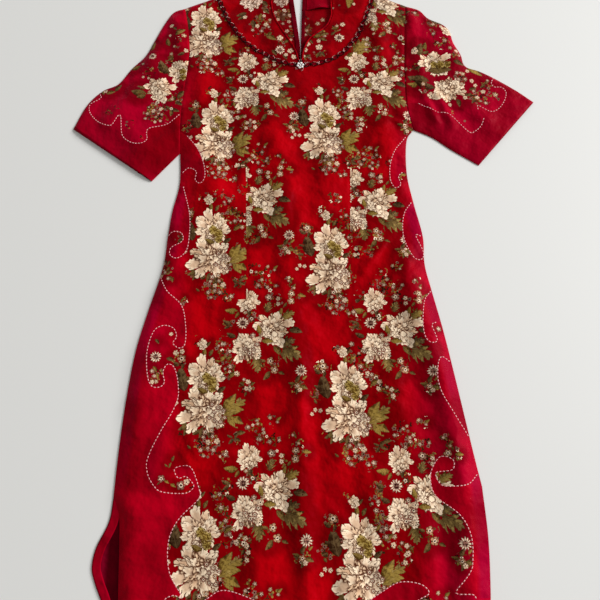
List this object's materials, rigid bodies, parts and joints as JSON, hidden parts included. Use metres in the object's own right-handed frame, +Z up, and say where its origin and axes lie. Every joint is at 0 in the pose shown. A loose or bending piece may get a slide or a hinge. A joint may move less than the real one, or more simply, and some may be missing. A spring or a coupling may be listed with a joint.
{
  "type": "cheongsam dress",
  "caption": "Short-sleeved cheongsam dress in printed red satin, laid flat, with a beaded yoke seam, an open tulip neckline and side slits.",
  "frame": {"origin": "on the surface that the dress lies on, under the middle of its outline", "axes": "+Y from hem to neck, +Z up from the surface, +X to the right as the dress is seen from above with its neck away from the viewer"},
  "size_m": [0.876, 1.2147, 0.0138],
  "materials": {
    "printed_satin": "red satin with a printed floral middle and plain crimson edges",
    "plain_lining": "plain dark red cloth, the facings inside the back",
    "piping": "plain red satin bias, rolled round the neck edge",
    "beads": "dark brown glass beads sewn in loops on a narrow band",
    "stones": "clear cut stones in a silver setting"
  },
  "bodies": {
    "root": {"back_left": "printed_satin", "back_right": "printed_satin", "back_opening_facing_left": "plain_lining", "back_opening_facing_right": "plain_lining", "back_neck_facing_left": "plain_lining", "back_neck_facing_right": "plain_lining", "front_body": "printed_satin", "front_yoke_left": "printed_satin", "front_yoke_right": "printed_satin", "sleeve_left": "printed_satin", "sleeve_right": "printed_satin", "neck_piping_left": "piping", "neck_piping_right": "piping", "neck_trim": "beads", "neck_flower": "stones"}
  },
  "joints": []
}
